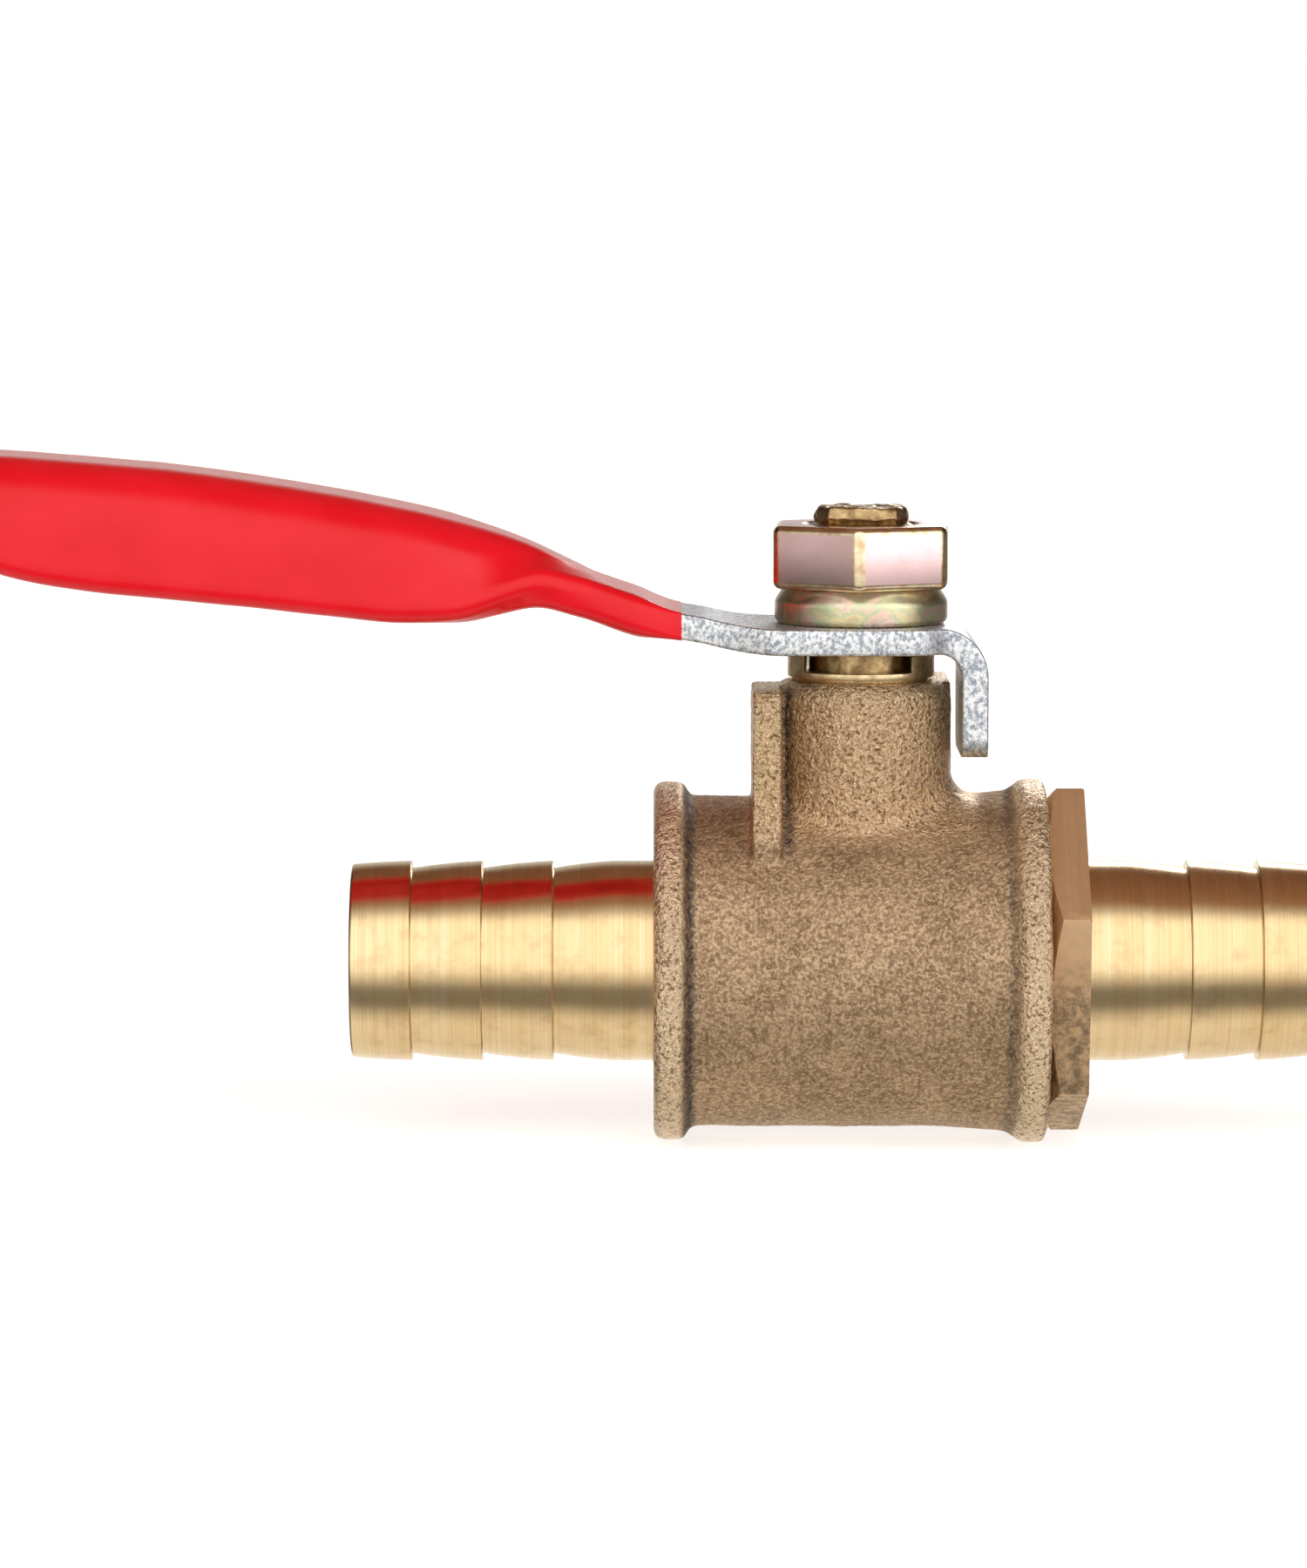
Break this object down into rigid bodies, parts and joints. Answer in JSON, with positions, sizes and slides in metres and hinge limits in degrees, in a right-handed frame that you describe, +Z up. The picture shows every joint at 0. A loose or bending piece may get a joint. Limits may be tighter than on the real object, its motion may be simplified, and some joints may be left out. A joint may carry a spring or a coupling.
{
  "type": "ball valve",
  "caption": "Quarter-turn inline ball valve with hose barbs at both ends, shown open, turned by a bent sheet-steel lever with a dipped grip.",
  "frame": {"origin": "centre of the ball, where the pipe axis and the stem axis cross", "axes": "+X along the pipe from the inlet barb to the outlet barb, +Z up the stem towards the lever, +Y completes the right-handed frame"},
  "size_m": [0.086, 0.021, 0.0403],
  "materials": {
    "cast_brass": "sand-cast, tumbled, slightly grainy",
    "turned_brass": "turned bright, fine tool marks",
    "stem_brass": "turned, dull",
    "gland_brass": "turned, dull",
    "chromed_ball": "polished hard chrome",
    "ptfe": "satin white PTFE",
    "zinc_steel": "bright zinc plate with sheared edges",
    "red_vinyl": "glossy dip coating",
    "yellow_zinc_nut": "yellow zinc plate, satin",
    "yellow_zinc_washer": "yellow zinc plate, iridescent"
  },
  "bodies": {
    "valve_body": {"body": "cast_brass", "retainer": "turned_brass", "body_gasket": "ptfe", "inlet_seat": "ptfe", "outlet_seat": "ptfe", "thrust_washer": "ptfe", "packing_ring_lower": "ptfe", "packing_ring_middle": "ptfe", "packing_ring_upper": "ptfe", "gland_nut": "gland_brass"},
    "lever_and_stem": {"stem": "stem_brass", "lever": "zinc_steel", "grip": "red_vinyl", "spring_washer": "yellow_zinc_washer", "lever_nut": "yellow_zinc_nut"},
    "ball": {"ball": "chromed_ball"}
  },
  "joints": [
    {"name": "lever_turn", "type": "hinge", "parent": "valve_body", "child": "lever_and_stem", "pos_m": [0, 0, 0], "axis": [0, 0, -1], "range_deg": [0, 90]},
    {"name": "ball_turn", "type": "hinge", "parent": "valve_body", "child": "ball", "pos_m": [0, 0, 0], "axis": [0, 0, -1], "range_deg": [0, 90]}
  ],
  "couplings": [
    {"joint": "ball_turn", "follows": "lever_turn", "ratio": 1}
  ]
}
